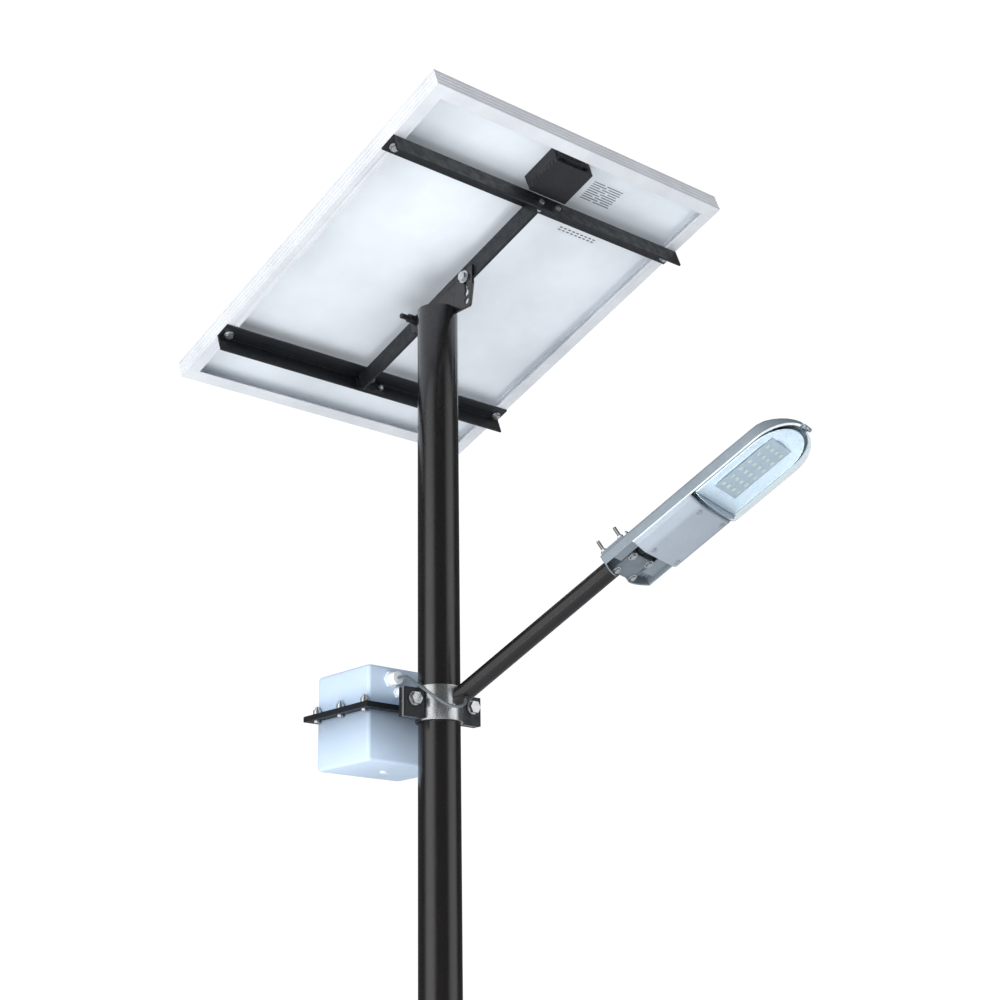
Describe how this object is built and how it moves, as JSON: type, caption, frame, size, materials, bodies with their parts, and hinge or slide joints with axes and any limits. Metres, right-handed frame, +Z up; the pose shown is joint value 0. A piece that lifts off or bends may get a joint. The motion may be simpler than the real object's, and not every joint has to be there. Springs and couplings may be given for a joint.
{
  "type": "solar street lamp",
  "caption": "Solar street lamp: tilting panel on a round pole, clamped battery box, sloping arm and LED luminaire with a clear bowl.",
  "frame": {"origin": "on the pole's axis at the base plate's underside", "axes": "+Z up the pole, +X along the panel's cross rails, +Y horizontally towards the panel's lower edge and the battery box"},
  "size_m": [0.68, 1.0756, 3.2215],
  "materials": {
    "pole_black": "glossy black powder coat",
    "rail_black": "satin black paint",
    "dark_steel": "blackened steel",
    "zinc_steel": "bright zinc plate",
    "galvanised": "galvanised",
    "frame_aluminium": "anodised",
    "panel_glass": "low-iron tempered",
    "cell_blue": "dark blue silicon",
    "backsheet_white": "white laminate sheet",
    "label_paper": "printed label",
    "black_plastic": "moulded black",
    "green_plastic": "green",
    "box_plastic": "pale blue grey moulding",
    "white_plastic": "white nylon",
    "rubber": "black rubber",
    "cable_grey": "grey sheath",
    "battery_case": "blue shrink wrap",
    "lamp_grey": "silver grey paint",
    "reflector_white": "white enamel",
    "board": "white solder mask",
    "led_yellow": "phosphor",
    "driver_case": "moulded",
    "clear_plastic": "clear polycarbonate"
  },
  "bodies": {
    "mast": {"base_plate": "pole_black", "base_ribs": "pole_black", "pole_tube": "pole_black", "pole_cap": "pole_black", "tilt_gusset": "pole_black", "pivot_bolt": "dark_steel", "pivot_nuts": "dark_steel"},
    "panel": {"frame_rail_upper": "frame_aluminium", "frame_rail_lower": "frame_aluminium", "frame_rail_left": "frame_aluminium", "frame_rail_right": "frame_aluminium", "corner_keys": "frame_aluminium", "panel_glass": "panel_glass", "solar_cells": "cell_blue", "backsheet": "backsheet_white", "junction_box_base": "black_plastic", "junction_terminals": "black_plastic", "junction_glands": "black_plastic", "earth_tag": "green_plastic", "rating_labels": "label_paper", "cross_rail_upper": "rail_black", "cross_rail_lower": "rail_black", "centre_rail": "rail_black", "rail_cleats": "rail_black", "rail_bolts": "zinc_steel", "rail_nuts": "zinc_steel", "lock_bolt": "zinc_steel", "lock_nut": "zinc_steel"},
    "junction_lid": {"junction_box_lid": "black_plastic"},
    "bracket": {"clamp_front_band": "galvanised", "clamp_rear_band": "rail_black", "clamp_backing_plates": "rail_black", "clamp_bolts": "zinc_steel", "clamp_nuts": "zinc_steel", "box_cradle": "rail_black", "box_shell": "box_plastic", "box_lid": "box_plastic", "box_gasket": "rubber", "box_bolts": "zinc_steel", "box_nuts": "zinc_steel", "battery_pack": "battery_case", "charge_controller": "black_plastic", "box_glands": "white_plastic", "arm_tube": "pole_black", "arm_grommet": "rubber", "lamp_cable": "cable_grey", "lamp_lead": "cable_grey"},
    "lamp": {"lamp_canopy": "lamp_grey", "lamp_gasket": "rubber", "gear_cover": "lamp_grey", "cover_screws": "zinc_steel", "lamp_saddle": "zinc_steel", "saddle_fasteners": "zinc_steel", "reflector": "reflector_white", "led_board": "board", "led_chips": "led_yellow", "led_driver": "driver_case", "bowl_hinge_pin": "zinc_steel", "bowl_clips": "zinc_steel"},
    "bowl": {"bowl_lens": "clear_plastic"}
  },
  "joints": [
    {"name": "panel_tilt", "type": "hinge", "parent": "mast", "child": "panel", "pos_m": [0.0162, 0.075, 3.01], "axis": [1, 0, 0], "range_deg": [0, 13.5]},
    {"name": "junction_lid_hinge", "type": "hinge", "parent": "panel", "child": "junction_lid", "pos_m": [0.0414, -0.32614, 3.18256], "axis": [-1, 0, 0], "range_deg": [0, 90]},
    {"name": "clamp_swivel", "type": "hinge", "parent": "mast", "child": "bracket", "pos_m": [0, 0, 2.267], "axis": [0, 0, 1], "range_deg": [-45, 45]},
    {"name": "lamp_roll", "type": "hinge", "parent": "bracket", "child": "lamp", "pos_m": [0.1081, -0.35358, 2.47253], "axis": [0.2514, -0.8223, 0.5105], "range_deg": [-15, 15]},
    {"name": "bowl_hinge", "type": "hinge", "parent": "lamp", "child": "bowl", "pos_m": [0.20275, -0.66317, 2.62754], "axis": [-0.9563, -0.2924, 0], "range_deg": [0, 75]}
  ]
}
